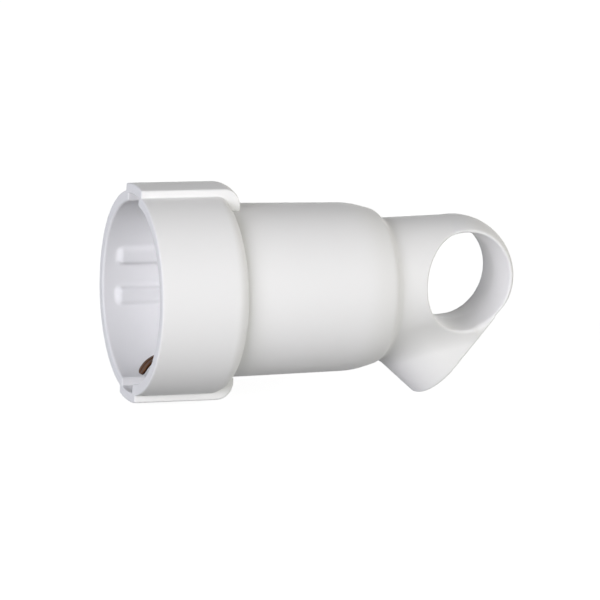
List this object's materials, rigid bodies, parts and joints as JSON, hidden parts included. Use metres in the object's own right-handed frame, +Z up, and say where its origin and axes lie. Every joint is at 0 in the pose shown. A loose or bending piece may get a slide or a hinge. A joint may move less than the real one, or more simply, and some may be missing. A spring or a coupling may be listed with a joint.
{
  "type": "inline socket connector",
  "caption": "White inline mains socket with a round plug recess, side earth clips, a tapered barrel, a finger ring and a slanted cable spout.",
  "frame": {"origin": "centre of the plug recess's mouth", "axes": "+X from the mouth along the barrel to the ring, +Z up, the two pins lie along Y"},
  "size_m": [0.0869, 0.0438, 0.0474],
  "materials": {
    "body_white": "satin, moulded thermoplastic",
    "base_white": "matt thermoset",
    "contact_brass": "drawn brass",
    "strap_brass": "dark tarnished strip",
    "screw_steel": "zinc-plated steel"
  },
  "bodies": {
    "root": {"socket_front": "body_white", "barrel_sleeve": "body_white", "ring_handle": "body_white", "contact_base": "base_white", "base_cover": "base_white", "cord_clamp_bar": "base_white", "contact_left": "contact_brass", "contact_right": "contact_brass", "terminal_left": "contact_brass", "terminal_right": "contact_brass", "terminal_earth": "contact_brass", "earth_rivet": "contact_brass", "earth_strap": "strap_brass", "contact_spring_left": "screw_steel", "contact_spring_right": "screw_steel", "terminal_screw_left": "screw_steel", "terminal_screw_right": "screw_steel", "terminal_screw_earth": "screw_steel", "centre_screw": "screw_steel", "centre_nut": "screw_steel", "base_screw_upper": "screw_steel", "base_screw_lower": "screw_steel", "clamp_screw_left": "screw_steel", "clamp_screw_right": "screw_steel"}
  },
  "joints": []
}
